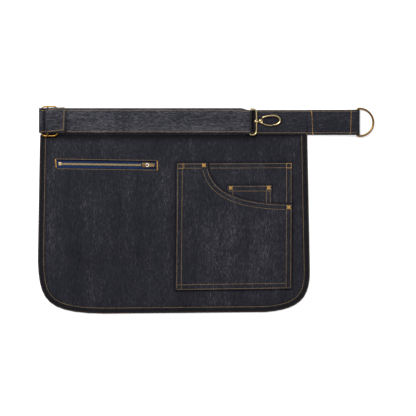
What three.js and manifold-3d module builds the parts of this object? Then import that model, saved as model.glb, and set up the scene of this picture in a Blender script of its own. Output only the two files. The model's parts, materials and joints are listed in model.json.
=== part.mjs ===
// A denim waist apron lying flat, front side up. Millimetres, +Z up, +Y towards the waistband,
// +X towards the D-ring.
import * as THREE from "three";
import { mergeVertices } from "three/addons/utils/BufferGeometryUtils.js";
import Module from "manifold-3d";

const wasm = await Module();
wasm.setup();

// Thicknesses and clearances
const CLOTH = 1.2; // one layer of denim
const GAP = 0.3; // between pieces that touch
const CELL = 16; // spacing of the lattice that every draped sheet shares

// Apron panel
const PANEL_LEFT = -336.5; // left edge at the waistband
const PANEL_RIGHT = 205.3;
const PANEL_BOTTOM = -210.8;
const PANEL_FLARE = 4.6; // how far each side edge leans out on its way down
const LEFT_CORNER = { run: 134, rise: 105 }; // size of each rounded lower corner
const RIGHT_CORNER = { run: 91, rise: 88 };
const HEM_WIDTH = 11.5;
const HEM_UNDER = 1.4; // cloth folded under the hem

// Waistband
const BAND_TOP = 202.5;
const BAND_BOTTOM = 151.7;
const BAND_LEFT = -334;
const BAND_THICK = 2.6;
const BAND_SLOT = 15; // how deep the panel's top edge goes in
const RETURN_END = 212; // where the D-ring loop is sewn down on the back

// D-ring
const D_WIRE = 4.2;
const D_BAR_X = 306.5;
const D_SHOULDER = 5; // straight arm between the bar and the arc
const D_CORNER = 2.4;

// Adjuster strap
const STRAP_WIDE = 50;
const STRAP_THICK = 1.5;
const STRAP_RISE = 3.8; // how far its centre line lies above the band's
const STRAP_MIDDLE = (BAND_TOP + BAND_BOTTOM) / 2 + STRAP_RISE;
const STRAP_LEFT = -338.7; // outside of the turn at the left end
const STRAP_RIGHT = 92.3; // outside of the fold in the hook's ring
const PINCH = { length: 20, narrower: 3, lower: 2.9 }; // the ring draws the fold together
const SHORT_END = { reach: 36, lean: 3.5 }; // sewn end: length past the bar, and its lean in degrees

// Slider
const SLIDER_WIRE = 3.6;
const SLIDER = { left: -334.9, right: -299.5, above: 4.9, below: 8, corner: 6 }; // past the strap's edges
const SLIDER_BAR_X = -320.5;

// Hook
const RING_WIRE = 3.2;
const RING_BAR_X = STRAP_RIGHT - STRAP_THICK - GAP - RING_WIRE / 2;
const RING = { wide: 13, inside: STRAP_WIDE - 1.2, corner: 6, barCorner: 1.2, lean: 6 };
const HOOK_WIRE = 3.3;
const POST_Y = STRAP_MIDDLE - 2.1;
const EYE = { x: 111, y: POST_Y + 0.5, curl: 2.9, wire: 2.6, plate: 1.2 };

// Zip, in a frame turned with it
const ZIP = { x: -201.9, y: 91.6, lean: -0.85, long: 203, slit: 16.2, corner: 1.5 };
const TAPE = { long: 224, wide: 28, thick: 0.8 };
const CHAIN = { wide: 4.9, tall: 2, leftMargin: 11.5, rightMargin: 29.5 }; // margins inside the slit
const END_STOP = { long: 6.7, wide: 6.8, tall: 2.4, corner: 1.4 };
const ZIP_SLIDER = { long: 17, wide: 9, tall: 3.2 };
const PULLER = { wide: 8.6, long: 17.5, bar: 0.8, setBack: 9 }; // set back from the slider's end
const BAG = { left: -318, right: -86, top: 114, bottom: -62, corner: 22, seam: 9, cloth: 1, hollow: 0.4 };

// Patch pocket
const POCKET = { left: -59.5, leftLow: -61.8, right: 174.8, top: 94.7, bottom: -163.9, bottomRight: -160.3 };
const MOUTH = { topX: 3.6, sideY: 11.7 }; // where the curved mouth meets the top and the right edge
const COIN = { left: 43.3, right: 133.7, top: 50.4, bottom: 2 };

const BAG_TOP = 2 * BAG.cloth + BAG.hollow;
const CHAIN_LEFT = CHAIN.leftMargin - ZIP.long / 2;
const CHAIN_RIGHT = ZIP.long / 2 - CHAIN.rightMargin;

const smooth = (t) => THREE.MathUtils.smoothstep(t, 0, 1);

// A closed solid of any closed geometry, with its faces pointing out.
function solid(geometry) {
  const bare = new THREE.BufferGeometry().setAttribute("position", geometry.getAttribute("position"));
  bare.setIndex(geometry.index);
  const merged = mergeVertices(bare, 1e-4);
  const index = Uint32Array.from(merged.index.array);
  const vertProperties = Float32Array.from(merged.attributes.position.array);
  const body = new wasm.Manifold(new wasm.Mesh({ numProp: 3, vertProperties, triVerts: index }));
  if (body.volume() >= 0) return body;
  for (let i = 0; i < index.length; i += 3) [index[i], index[i + 1]] = [index[i + 1], index[i]];
  return new wasm.Manifold(new wasm.Mesh({ numProp: 3, vertProperties, triVerts: index }));
}

const join = (...solids) => solids.reduce((a, b) => a.add(b));

function geometryOf(body) {
  const mesh = body.getMesh();
  const places = new Float32Array(mesh.numVert * 3);
  for (let i = 0; i < mesh.numVert; i++)
    places.set(mesh.vertProperties.subarray(i * mesh.numProp, i * mesh.numProp + 3), i * 3);
  const geometry = new THREE.BufferGeometry().setAttribute("position", new THREE.BufferAttribute(places, 3));
  geometry.setIndex(new THREE.BufferAttribute(mesh.triVerts, 1));
  geometry.computeVertexNormals();
  return geometry;
}

function shapeOf(points, holes = []) {
  const shape = new THREE.Shape(points);
  for (const hole of holes) shape.holes.push(new THREE.Path(hole));
  return shape;
}

// An upright prism of a flat outline between two heights.
function prism(points, low, high, holes = []) {
  const options = { depth: high - low, bevelEnabled: false };
  return solid(new THREE.ExtrudeGeometry(shapeOf(points, holes), options).translate(0, 0, low));
}

function box(x0, x1, y0, y1, z0, z1) {
  const middle = [(x0 + x1) / 2, (y0 + y1) / 2, (z0 + z1) / 2];
  return solid(new THREE.BoxGeometry(x1 - x0, y1 - y0, z1 - z0).translate(...middle));
}

// A cylinder between two points.
function rod(from, to, radius, sides = 12) {
  const along = new THREE.Vector3().subVectors(to, from);
  const geometry = new THREE.CylinderGeometry(radius, radius, along.length(), sides);
  const up = new THREE.Vector3(0, 1, 0);
  const turn = new THREE.Quaternion().setFromUnitVectors(up, along.clone().normalize());
  geometry.applyQuaternion(turn);
  geometry.translate(...new THREE.Vector3().addVectors(from, to).multiplyScalar(0.5));
  return solid(geometry);
}

// A wire along an open line of points.
function wire(points, radius, sides = 8, steps = 3) {
  const curve = new THREE.CatmullRomCurve3(points);
  const circle = new THREE.Path().absarc(0, 0, radius, 0, 2 * Math.PI);
  const section = new THREE.Shape(circle.getSpacedPoints(sides));
  const options = { steps: steps * (points.length - 1), extrudePath: curve, bevelEnabled: false };
  return solid(new THREE.ExtrudeGeometry(section, options));
}

// A wire bent into a closed loop.
function wireLoop(points, radius, sides = 8) {
  const curve = new THREE.CatmullRomCurve3(points, true, "centripetal");
  return solid(new THREE.TubeGeometry(curve, points.length * 2, radius, sides, true));
}

function roundedRectangle(x0, x1, y0, y1, radius, arcSteps = 3, leftRadius = radius) {
  const corners = [
    [x1 - radius, y1 - radius, 0, radius],
    [x0 + leftRadius, y1 - leftRadius, 1, leftRadius],
    [x0 + leftRadius, y0 + leftRadius, 2, leftRadius],
    [x1 - radius, y0 + radius, 3, radius],
  ];
  const points = [];
  for (const [x, y, quarter, r] of corners)
    for (let i = 0; i <= arcSteps; i++) {
      const angle = (quarter + i / arcSteps) * (Math.PI / 2);
      points.push(new THREE.Vector2(x + r * Math.cos(angle), y + r * Math.sin(angle)));
    }
  return points;
}

// A flat outline turned about the origin and then moved.
function turned(points, x, y, degrees) {
  const angle = THREE.MathUtils.degToRad(degrees);
  return points.map((p) => p.clone().rotateAround(new THREE.Vector2(), angle).add({ x, y }));
}

function distanceToLoop(x, y, points) {
  const place = new THREE.Vector3(x, y, 0);
  const nearest = new THREE.Vector3();
  let best = Infinity;
  points.forEach((p, i) => {
    const q = points[(i + 1) % points.length];
    const side = new THREE.Line3(new THREE.Vector3(p.x, p.y, 0), new THREE.Vector3(q.x, q.y, 0));
    best = Math.min(best, side.closestPointToPoint(place, true, nearest).distanceTo(place));
  });
  return best;
}

// How far a place lies outside a rectangle.
const outside = (x, y, r) =>
  Math.hypot(Math.max(r.left - x, 0, x - r.right), Math.max(r.bottom - y, 0, y - r.top));

// 1 on and near a form, easing to 0 over the fall.
const plateau = (distance, margin, fall) => 1 - smooth((distance - margin) / fall);

function panelOutline() {
  const low = { left: PANEL_LEFT - PANEL_FLARE, right: PANEL_RIGHT + PANEL_FLARE + 0.7 };
  const bottom = new THREE.Path();
  bottom.moveTo(BAND_LEFT + 1, BAND_BOTTOM + BAND_SLOT - 1);
  bottom.lineTo(BAND_LEFT + 1, BAND_BOTTOM + 1);
  bottom.lineTo(PANEL_LEFT, BAND_BOTTOM - 1);
  bottom.lineTo(low.left, PANEL_BOTTOM + LEFT_CORNER.rise);
  bottom.bezierCurveTo(
    low.left + 3,
    PANEL_BOTTOM + 0.25 * LEFT_CORNER.rise,
    low.left + 0.13 * LEFT_CORNER.run,
    PANEL_BOTTOM + 1,
    low.left + LEFT_CORNER.run,
    PANEL_BOTTOM,
  );
  bottom.lineTo(low.right - RIGHT_CORNER.run, PANEL_BOTTOM + 3);
  bottom.bezierCurveTo(
    low.right - 0.26 * RIGHT_CORNER.run,
    PANEL_BOTTOM + 8,
    low.right + 1,
    PANEL_BOTTOM + 0.33 * RIGHT_CORNER.rise,
    low.right,
    PANEL_BOTTOM + RIGHT_CORNER.rise,
  );
  bottom.lineTo(PANEL_RIGHT, BAND_BOTTOM);
  bottom.lineTo(PANEL_RIGHT, BAND_BOTTOM + BAND_SLOT - 1);
  return bottom.getPoints(10);
}

const OUTLINE = panelOutline();
const HEM_LINE = OUTLINE.slice(2, -1); // the three hemmed sides

// Soft upright ridges in the cloth: places and widths as shares of the panel's width.
const RIDGES = [
  { place: 0.15, width: 0.055, height: 2.2 },
  { place: 0.235, width: 0.04, height: 1.6 },
  { place: 0.345, width: 0.05, height: 2.4 },
  { place: 0.495, width: 0.05, height: 2.6 },
  { place: 0.64, width: 0.05, height: 1.2 },
  { place: 0.858, width: 0.05, height: 2 },
];

// Height of the panel's underside above the table.
function ground(x, y) {
  const edge = distanceToLoop(x, y, [...HEM_LINE, ...HEM_LINE.slice(1, -1).reverse()]);
  const hem = HEM_UNDER * plateau(edge, HEM_WIDTH + CELL, 2 * CELL);
  const bag = (BAG_TOP + GAP) * plateau(outside(x, y, BAG), CELL, 2 * CELL);
  const tapeZone = {
    left: ZIP.x - TAPE.long / 2,
    right: ZIP.x + TAPE.long / 2,
    top: ZIP.y + TAPE.wide / 2 + 3,
    bottom: ZIP.y - TAPE.wide / 2 - 3,
  };
  const tape = (TAPE.thick + GAP) * plateau(outside(x, y, tapeZone), CELL, 2 * CELL);
  const band = (CLOTH + GAP) * plateau(BAND_BOTTOM - y, CELL, 3 * CELL);
  const calm = smooth((edge - CELL) / (2 * CELL)) * smooth((BAND_BOTTOM - y - CELL) / (2 * CELL));
  const away = 1 - plateau(outside(x, y, tapeZone), CELL, 2 * CELL);
  const width = PANEL_RIGHT - PANEL_LEFT;
  let ridge = 0;
  for (const { place, width: share, height } of RIDGES)
    ridge += height * Math.exp(-(((x - PANEL_LEFT) / width - place) ** 2) / (share / 1.6) ** 2);
  return Math.max(hem, bag + tape, band) + ridge * calm * away;
}

// A draped sheet: the slab above a lattice of heights, cut to a flat outline.
function sheet(points, heightAt, holes = []) {
  const bounds = new THREE.Box2().setFromPoints(points);
  const x0 = Math.floor(bounds.min.x / CELL) - 1;
  const y0 = Math.floor(bounds.min.y / CELL) - 1;
  const columns = Math.ceil(bounds.max.x / CELL) + 1 - x0;
  const rows = Math.ceil(bounds.max.y / CELL) + 1 - y0;
  const places = [];
  for (const lift of [0, CLOTH])
    for (let j = 0; j <= rows; j++)
      for (let i = 0; i <= columns; i++) {
        const x = (x0 + i) * CELL;
        const y = (y0 + j) * CELL;
        places.push(x, y, heightAt(x, y) + lift);
      }
  const row = columns + 1;
  const layer = row * (rows + 1);
  const index = [];
  const quad = (a, b, c, d) => index.push(a, b, c, a, c, d);
  for (let j = 0; j < rows; j++)
    for (let i = 0; i < columns; i++) {
      const a = j * row + i;
      quad(layer + a, layer + a + 1, layer + a + row + 1, layer + a + row);
      index.push(a, a + row + 1, a + 1, a, a + row, a + row + 1);
    }
  for (let i = 0; i < columns; i++) {
    quad(i, i + 1, layer + i + 1, layer + i);
    const far = rows * row + i;
    quad(far + 1, far, layer + far, layer + far + 1);
  }
  for (let j = 0; j < rows; j++) {
    const left = j * row;
    quad(left + row, left, layer + left, layer + left + row);
    const right = j * row + columns;
    quad(right, right + row, layer + right + row, layer + right);
  }
  const slab = new THREE.BufferGeometry();
  slab.setAttribute("position", new THREE.BufferAttribute(new Float32Array(places), 3));
  slab.setIndex(index);
  return solid(slab).intersect(prism(points, -10, 30, holes));
}

// A ribbon of cloth: its side profile follows points in XZ, and it is wide along Y.
function ribbon(profile, thick, edges) {
  const places = [];
  const index = [];
  profile.forEach((p, i) => {
    const back = profile[Math.max(i - 1, 0)];
    const on = profile[Math.min(i + 1, profile.length - 1)];
    const normal = new THREE.Vector2(-(on.y - back.y), on.x - back.x).normalize().multiplyScalar(thick / 2);
    const [low, high] = edges(p.x);
    for (const [y, side] of [[low, -1], [high, -1], [high, 1], [low, 1]])
      places.push(p.x + side * normal.x, y, p.y + side * normal.y);
    if (i === 0) return;
    const a = 4 * (i - 1);
    for (let k = 0; k < 4; k++) {
      const b = a + ((k + 1) % 4);
      index.push(a + k, b, b + 4, a + k, b + 4, a + k + 4);
    }
  });
  const last = 4 * (profile.length - 1);
  index.push(0, 2, 1, 0, 3, 2, last, last + 1, last + 2, last, last + 2, last + 3);
  const geometry = new THREE.BufferGeometry();
  geometry.setAttribute("position", new THREE.BufferAttribute(new Float32Array(places), 3));
  geometry.setIndex(index);
  return solid(geometry);
}

// A smooth side profile through a few places in XZ.
function profileThrough(points, steps) {
  const places = points.map(([x, z]) => new THREE.Vector2(x, z));
  return new THREE.SplineCurve(places).getPoints(steps);
}

// Points of an arc in XZ, angles in degrees.
function arc(x, z, radius, from, to, steps = 10) {
  const points = [];
  for (let i = 0; i <= steps; i++) {
    const angle = THREE.MathUtils.degToRad(from + ((to - from) * i) / steps);
    points.push(new THREE.Vector2(x + radius * Math.cos(angle), z + radius * Math.sin(angle)));
  }
  return points;
}

// The zip's opening, where it lies on the panel.
function zipOpening(wide) {
  const opening = roundedRectangle(-ZIP.long / 2, ZIP.long / 2, -wide / 2, wide / 2, ZIP.corner, 2);
  return turned(opening, ZIP.x, ZIP.y, ZIP.lean);
}

function apronPanel() {
  const slit = zipOpening(ZIP.slit);
  const cloth = sheet(OUTLINE, ground, [slit]);
  const wall = prism(OUTLINE, 0, HEM_UNDER + CLOTH / 2).subtract(prism(hemInside(), -1, HEM_UNDER + CLOTH));
  const below = box(PANEL_LEFT - 50, PANEL_RIGHT + 50, PANEL_BOTTOM - 50, BAND_BOTTOM - 2 * GAP, -1, 10);
  return join(cloth, wall.intersect(below));
}

// The hem's inner edge: the outline drawn in by the hem's width.
function hemInside() {
  return HEM_LINE.map((p, i) => {
    const back = HEM_LINE[Math.max(i - 1, 0)];
    const on = HEM_LINE[Math.min(i + 1, HEM_LINE.length - 1)];
    const inward = new THREE.Vector2(-(on.y - back.y), on.x - back.x).normalize().multiplyScalar(HEM_WIDTH);
    const open = i === 0 || i === HEM_LINE.length - 1 ? 30 : 0;
    return new THREE.Vector2(p.x + inward.x, p.y + inward.y + open);
  });
}

function waistband() {
  const slotTop = CLOTH + 2 * GAP + CLOTH;
  const section = [
    [BAND_BOTTOM, 0],
    [BAND_TOP - 0.8, 0],
    [BAND_TOP, 0.8],
    [BAND_TOP, BAND_THICK - 0.8],
    [BAND_TOP - 0.8, BAND_THICK],
    [BAND_BOTTOM + BAND_SLOT + 9, BAND_THICK],
    [BAND_BOTTOM + BAND_SLOT + 1, slotTop + CLOTH],
    [BAND_BOTTOM, slotTop + CLOTH],
    [BAND_BOTTOM, slotTop],
    [BAND_BOTTOM + BAND_SLOT, slotTop],
    [BAND_BOTTOM + BAND_SLOT, CLOTH],
    [BAND_BOTTOM, CLOTH],
  ].map(([y, z]) => new THREE.Vector2(y, z));
  const right = PANEL_RIGHT + GAP;
  const long = right - BAND_LEFT;
  const front = new THREE.ExtrudeGeometry(shapeOf(section), { depth: long, bevelEnabled: false });
  front.rotateZ(Math.PI / 2).rotateY(Math.PI / 2);
  front.translate(BAND_LEFT, 0, 0);
  const half = BAND_THICK / 2;
  const turn = D_WIRE / 2 + GAP + half;
  const level = BAND_THICK + GAP + half;
  const top = half + 2 * turn;
  const ontoReturn = [
    [right - 0.2, half],
    [right + 0.6, half],
    [RETURN_END - 2.5, half + 1.6],
    [RETURN_END + 3, level],
    [RETURN_END + 12, level],
  ];
  const upToRing = [
    [D_BAR_X - 32, level],
    [D_BAR_X - 22, level + 0.6],
    [D_BAR_X - 10, top - 1],
    [D_BAR_X, top],
  ];
  const route = [
    ...profileThrough(ontoReturn, 16),
    ...profileThrough(upToRing, 12),
    ...arc(D_BAR_X, half + turn, turn, 80, -90, 12),
    new THREE.Vector2(D_BAR_X - 20, half),
    new THREE.Vector2(RETURN_END, half),
  ];
  return join(solid(front), ribbon(route, BAND_THICK, () => [BAND_BOTTOM, BAND_TOP]));
}

const D_BAR_Z = BAND_THICK / 2 + D_WIRE / 2 + GAP + BAND_THICK / 2;
const D_MIDDLE = (BAND_TOP + BAND_BOTTOM) / 2;
const D_RADIUS = (BAND_TOP - BAND_BOTTOM) / 2 + 0.4 + D_WIRE / 2;
const D_LEAN = Math.asin((D_BAR_Z - D_WIRE / 2) / (D_SHOULDER + D_RADIUS)); // its arc lies on the table

function dRing() {
  const points = [];
  for (let i = -4; i <= 4; i++) points.push([0, (i * (D_RADIUS - D_CORNER - 1)) / 4]);
  points.push([D_CORNER * 0.3, D_RADIUS - D_CORNER * 0.3]);
  for (let i = 0; i <= 16; i++) {
    const angle = Math.PI / 2 - (i * Math.PI) / 16;
    points.push([D_SHOULDER + D_RADIUS * Math.cos(angle), D_RADIUS * Math.sin(angle)]);
  }
  points.push([D_CORNER * 0.3, -(D_RADIUS - D_CORNER * 0.3)]);
  return wireLoop(points.map(([x, y]) => new THREE.Vector3(x, y, 0)), D_WIRE / 2, 8);
}

// Heights of the strap's layers, worked out from the band up
const BAND_PROUD = 3 * CLOTH + 2 * GAP; // the band's front over the panel's edge
const LAYER = STRAP_THICK + GAP;
const RUN_Z = BAND_PROUD + GAP + STRAP_THICK / 2; // lower layer's middle
const BACK_Z = RUN_Z + LAYER;
const SLIDER_Z = BAND_PROUD + GAP + SLIDER_WIRE / 2;
const OVER_BAR = SLIDER_WIRE / 2 + GAP + STRAP_THICK / 2; // from a bar's middle to the cloth round it
const CENTRE_BAR_Z = BACK_Z + OVER_BAR;
const RING_TURN = RING_WIRE / 2 + GAP + STRAP_THICK / 2;
const RING_BAR_Z = RUN_Z + RING_TURN;

function strapEdges(x) {
  const drawn = smooth((x - (RING_BAR_X - PINCH.length)) / PINCH.length);
  const half = STRAP_WIDE / 2 - (PINCH.narrower / 2) * drawn;
  const middle = STRAP_MIDDLE - PINCH.lower * drawn;
  return [middle - half, middle + half];
}

function adjusterStrap() {
  const start = BAND_THICK / 2;
  const over = SLIDER_Z + OVER_BAR;
  const leftBar = SLIDER.left + SLIDER_WIRE / 2;
  const rightBar = SLIDER.right - SLIDER_WIRE / 2;
  const turnRadius = (over - start) / 2;
  const turnX = STRAP_LEFT + STRAP_THICK / 2 + turnRadius;
  const offLeftBar = [
    [leftBar, over + 0.1],
    [leftBar + 3, over - 1.1],
    [leftBar + 5.2, RUN_Z + 1],
    [SLIDER_BAR_X - 4, RUN_Z],
    [SLIDER_BAR_X + 3, RUN_Z],
  ];
  const overRightBar = [
    [SLIDER_BAR_X + 8, RUN_Z + 0.8],
    [rightBar - 2, over + 0.2],
    [rightBar + 3, over + 0.2],
    [rightBar + 22, RUN_Z + 0.8],
    [rightBar + 40, RUN_Z],
  ];
  const offRing = [
    [RING_BAR_X - 6, RING_BAR_Z + RING_TURN - 0.8],
    [RING_BAR_X - 22, BACK_Z + 0.7],
    [RING_BAR_X - 36, BACK_Z],
  ];
  const backOverBar = [
    [rightBar + 40, BACK_Z],
    [rightBar + 22, BACK_Z + 0.8],
    [rightBar + 3, over + LAYER + 0.3],
    [rightBar - 2, over + LAYER + 0.3],
    [SLIDER_BAR_X + 7, BACK_Z + 1.2],
  ];
  const running = [
    new THREE.Vector2(BAND_LEFT - GAP, start),
    ...arc(turnX, start + turnRadius, turnRadius, 265, 95, 12),
    ...profileThrough(offLeftBar, 16),
    ...profileThrough(overRightBar, 20),
    new THREE.Vector2(rightBar + 150, RUN_Z),
    new THREE.Vector2(RING_BAR_X - PINCH.length, RUN_Z),
    new THREE.Vector2(RING_BAR_X - PINCH.length / 2, RUN_Z),
    ...arc(RING_BAR_X, RING_BAR_Z, RING_TURN, -90, 85, 12),
  ];
  const returning = [
    ...profileThrough(offRing, 12),
    new THREE.Vector2(rightBar + 150, BACK_Z),
    ...profileThrough(backOverBar, 20),
    ...arc(SLIDER_BAR_X, CENTRE_BAR_Z, OVER_BAR, -80, -270, 14),
  ];
  const strap = ribbon([...running, ...returning], STRAP_THICK, strapEdges);
  const top = CENTRE_BAR_Z + OVER_BAR;
  const shortEnd = [
    [-1, top],
    [8, top + 0.1],
    [20, top - 0.1],
    [SHORT_END.reach, over + 2 * LAYER - 2.6],
  ];
  const half = STRAP_WIDE / 2 - 0.3;
  const end = ribbon(profileThrough(shortEnd, 8), STRAP_THICK, () => [-half, half]);
  return join(strap, end.rotate([0, 0, SHORT_END.lean]).translate([SLIDER_BAR_X, STRAP_MIDDLE - 0.3, 0]));
}

function strapSlider() {
  const r = SLIDER_WIRE / 2;
  const { left, right, above, below, corner } = SLIDER;
  const top = STRAP_MIDDLE + STRAP_WIDE / 2 + above;
  const bottom = STRAP_MIDDLE - STRAP_WIDE / 2 - below;
  const loop = roundedRectangle(left + r, right - r, bottom + r, top - r, corner, 4);
  const frame = wireLoop(loop.map((p) => new THREE.Vector3(p.x, p.y, SLIDER_Z)), r, 8);
  const bar = [
    [bottom + r, SLIDER_Z],
    [bottom + 2.2 * r, CENTRE_BAR_Z - 0.9],
    [STRAP_MIDDLE - STRAP_WIDE / 2 + 2, CENTRE_BAR_Z],
    [STRAP_MIDDLE, CENTRE_BAR_Z],
    [STRAP_MIDDLE + STRAP_WIDE / 2 - 1, CENTRE_BAR_Z],
    [top - 1.4 * r, CENTRE_BAR_Z - 1.2],
    [top - r, SLIDER_Z],
  ].map(([y, z]) => new THREE.Vector3(SLIDER_BAR_X, y, z));
  return join(frame, wire(bar, r - 0.1, 8, 2));
}

const RING_MIDDLE = STRAP_MIDDLE - PINCH.lower;
const RING_LEAN = THREE.MathUtils.degToRad(RING.lean);
const RING_FAR = {
  x: RING_BAR_X + RING.wide * Math.cos(RING_LEAN),
  z: RING_BAR_Z - RING.wide * Math.sin(RING_LEAN),
};
const BOSS = { radius: 2.9, long: 4 };
const POST_RADIUS = 1.2;
const COLLAR = { radius: 2.4, long: 2.2, head: 1.6 };

function hookRing() {
  const half = (RING.inside + RING_WIRE) / 2;
  const loop = roundedRectangle(0, RING.wide, -half, half, RING.corner, 4, RING.barCorner);
  const flat = wireLoop(loop.map((p) => new THREE.Vector3(p.x, p.y, 0)), RING_WIRE / 2, 8);
  const ring = flat.rotate([0, RING.lean, 0]).translate([RING_BAR_X, RING_MIDDLE, RING_BAR_Z]);
  const side = (x) => new THREE.Vector3(RING_FAR.x + x, POST_Y, RING_FAR.z);
  const boss = rod(side(-BOSS.long / 2), side(BOSS.long / 2), BOSS.radius);
  return join(ring, boss).subtract(rod(side(-5), side(5), POST_RADIUS + GAP));
}

const hookAt = (x, y, z = RING_FAR.z) => new THREE.Vector3(x, y, z);

function hookBody() {
  const far = BOSS.long / 2 + GAP;
  const z = RING_FAR.z;
  const alongPost = (x) => hookAt(RING_FAR.x + x, POST_Y);
  const post = rod(alongPost(-far - 1), alongPost(far + 2), POST_RADIUS);
  const head = rod(alongPost(-far - COLLAR.head), alongPost(-far), COLLAR.radius);
  const collar = rod(alongPost(far), alongPost(far + COLLAR.long), COLLAR.radius);
  const low = z - EYE.wire / 2 - GAP;
  const inEye = (height) => hookAt(EYE.x, EYE.y, height);
  const plate = rod(inEye(low - EYE.plate), inEye(low), EYE.curl + EYE.wire / 2, 14);
  const pin = rod(inEye(low - 0.5), inEye(z + 0.9), EYE.curl - EYE.wire / 2 - GAP, 10);
  const foot = box(RING_FAR.x + far, EYE.x, POST_Y - 1.6, POST_Y + 1.6, low - EYE.plate, z - 0.4);
  const clear = rod(inEye(low), inEye(z + 5), EYE.curl + EYE.wire / 2 + GAP, 14);
  const neckLine = [
    hookAt(EYE.x + 1, EYE.y + 1.5, low - 0.6),
    hookAt(EYE.x + 2, EYE.y + 4.1, low - 0.4),
    hookAt(EYE.x + 3.6, EYE.y + 7.4, z - 0.5),
    hookAt(EYE.x + 6.2, EYE.y + 8.9),
  ];
  const neck = wire(neckLine, 1.1, 6);
  const bow = [
    [3.6, 7.4],
    [9.5, 9.8],
    [17.6, 11.2],
    [28.6, 11.2],
    [34.6, 9],
    [38.3, 5.7],
    [39.1, 1.9],
    [37.3, -3],
    [31.8, -6.2],
    [26, -7.7],
  ].map(([x, y]) => hookAt(EYE.x + x, EYE.y + y));
  const stem = join(foot, plate, neck).subtract(clear);
  return join(stem, pin, collar, post, head, wire(bow, HOOK_WIRE / 2, 8, 2));
}

function hookGate() {
  const curl = [];
  for (let i = 0; i < 12; i++) {
    const angle = (i * Math.PI) / 6;
    curl.push(hookAt(EYE.x + EYE.curl * Math.cos(angle), EYE.y + EYE.curl * Math.sin(angle)));
  }
  const lever = [
    [-0.5, -EYE.curl],
    [4.2, -4.7],
    [12.4, -7.8],
    [20.5, -8.5],
    [24, -8.3],
  ].map(([x, y]) => hookAt(EYE.x + x, EYE.y + y));
  return join(wireLoop(curl, EYE.wire / 2, 8), wire(lever, EYE.wire / 2, 8, 2));
}

const TAPE_LOW = BAG_TOP + GAP;
const TAPE_TOP = TAPE_LOW + TAPE.thick;

function zipPocketBag() {
  const outline = roundedRectangle(BAG.left, BAG.right, BAG.bottom, BAG.top, BAG.corner, 4);
  const inner = roundedRectangle(
    BAG.left + BAG.seam,
    BAG.right - BAG.seam,
    BAG.bottom + BAG.seam,
    BAG.top - BAG.seam,
    BAG.corner - BAG.seam,
    4,
  );
  const mouth = zipOpening(ZIP.slit / 2);
  const hollow = prism(inner, BAG.cloth, BAG.cloth + BAG.hollow);
  return prism(outline, 0, BAG_TOP).subtract(hollow).subtract(prism(mouth, BAG.cloth + 0.1, BAG_TOP + 1));
}

// Zip pieces are made about the slit's middle, lying along X.
const zipTape = () => box(-TAPE.long / 2, TAPE.long / 2, -TAPE.wide / 2, TAPE.wide / 2, TAPE_LOW, TAPE_TOP);
const CHAIN_LOW = TAPE_TOP + GAP;

function zipChain() {
  const half = CHAIN.wide / 2;
  const shoulder = CHAIN.tall * 0.6;
  const section = [
    [-half, 0],
    [half, 0],
    [half, shoulder],
    [half * 0.5, CHAIN.tall],
    [-half * 0.5, CHAIN.tall],
    [-half, shoulder],
  ];
  const shape = shapeOf(section.map(([y, z]) => new THREE.Vector2(y, z)));
  const long = CHAIN_RIGHT - CHAIN_LEFT;
  const bar = new THREE.ExtrudeGeometry(shape, { depth: long, bevelEnabled: false });
  bar.rotateZ(Math.PI / 2).rotateY(Math.PI / 2);
  return solid(bar.translate(CHAIN_LEFT, 0, CHAIN_LOW));
}

function zipEndStop() {
  const right = CHAIN_LEFT - GAP;
  const half = END_STOP.wide / 2;
  const outline = roundedRectangle(right - END_STOP.long, right, -half, half, END_STOP.corner, 2);
  return prism(outline, CHAIN_LOW, CHAIN_LOW + END_STOP.tall);
}

const PULL_Z = CHAIN_LOW + ZIP_SLIDER.tall + GAP + PULLER.bar; // the puller's bar
const PULL_X = CHAIN_RIGHT + GAP + ZIP_SLIDER.long - PULLER.setBack;
const CROWN = { back: 4, front: 1.3, tall: 3.2, wide: 2, wall: 1 };

function zipSliderBody() {
  const left = CHAIN_RIGHT + GAP;
  const wide = ZIP_SLIDER.wide / 2;
  const outline = roundedRectangle(left, left + ZIP_SLIDER.long, -wide, wide, 3, 3);
  const body = prism(outline, CHAIN_LOW, CHAIN_LOW + ZIP_SLIDER.tall);
  const floor = CHAIN_LOW + ZIP_SLIDER.tall;
  const x0 = PULL_X - CROWN.back;
  const x1 = PULL_X + CROWN.front + PULLER.bar;
  const half = CROWN.wide / 2;
  const arch = box(x0, x1 + CROWN.wall, -half, half, floor - 0.5, floor + CROWN.tall);
  const through = box(x0 + CROWN.wall, x1, -half - 1, half + 1, floor, floor + CROWN.tall - CROWN.wall);
  return join(body, arch.subtract(through));
}

function zipPuller() {
  const half = PULLER.wide / 2;
  const outline = roundedRectangle(-PULLER.bar, PULLER.long, -half, half, 0.7, 2);
  const eye = roundedRectangle(PULLER.bar, 6.8, -CROWN.wide / 2 - 0.7, CROWN.wide / 2 + 0.7, 0.5, 2);
  const end = roundedRectangle(PULLER.long - 3.6, PULLER.long - 1.4, -1.2, 1.2, 0.8, 2);
  return prism(outline, -PULLER.bar, PULLER.bar, [eye, end]).translate([PULL_X, 0, PULL_Z]);
}

const vector = ([x, y]) => new THREE.Vector2(x, y);

const pocketOutline = () =>
  [
    [POCKET.left, POCKET.top],
    [POCKET.leftLow, POCKET.bottom],
    [POCKET.right - 1, POCKET.bottomRight],
    [POCKET.right, POCKET.top + 1],
  ].map(vector);

// The curved mouth runs from the top edge down and across to the right edge.
function mouthCurve() {
  const wide = POCKET.right - MOUTH.topX;
  const deep = POCKET.top - MOUTH.sideY;
  const start = new THREE.Vector2(MOUTH.topX, POCKET.top + 1);
  const first = new THREE.Vector2(MOUTH.topX + 0.01 * wide, POCKET.top - 0.62 * deep);
  const second = new THREE.Vector2(MOUTH.topX + 0.28 * wide, MOUTH.sideY);
  const end = new THREE.Vector2(POCKET.right - 0.2, MOUTH.sideY);
  return new THREE.CubicBezierCurve(start, first, second, end).getPoints(14);
}

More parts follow.
